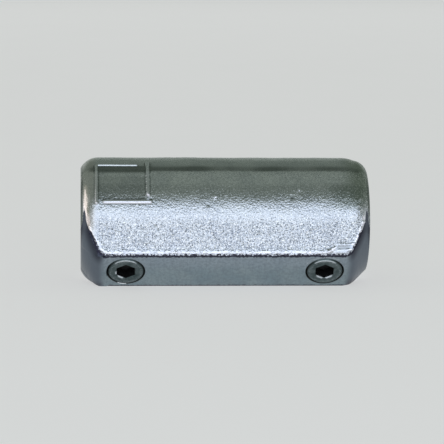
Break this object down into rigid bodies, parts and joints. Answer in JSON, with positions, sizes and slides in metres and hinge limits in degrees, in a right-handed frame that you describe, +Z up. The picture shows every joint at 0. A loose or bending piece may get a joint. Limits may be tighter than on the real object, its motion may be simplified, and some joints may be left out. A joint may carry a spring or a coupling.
{
  "type": "inline tube connector",
  "caption": "Straight cast sleeve that joins round tubes end to end, each gripped in its socket by a headless set screw in a flat ridge.",
  "frame": {"origin": "on the tube axis, at the middle of the sleeve's length, in the centre of the stop ring", "axes": "+X along the tube axis, out of the right socket; +Z up with the sleeve lying on the lower flank of its ridge; the pad with the set screws faces -Y and downwards"},
  "size_m": [0.129, 0.058, 0.0555],
  "materials": {
    "cast_aluminium": "as cast, with the pad and the ends ground smooth",
    "screw_steel": "case hardened and plated, dull"
  },
  "bodies": {
    "sleeve": {"sleeve": "cast_aluminium"},
    "set_screw_left": {"set_screw_left": "screw_steel"},
    "set_screw_right": {"set_screw_right": "screw_steel"}
  },
  "joints": [
    {"name": "left_screw_travel", "type": "slide", "parent": "sleeve", "child": "set_screw_left", "axis": [0, -0.7657, -0.6432], "range_m": [-0.0015, 0.005]},
    {"name": "right_screw_travel", "type": "slide", "parent": "sleeve", "child": "set_screw_right", "axis": [0, -0.7657, -0.6432], "range_m": [-0.0015, 0.005]}
  ]
}
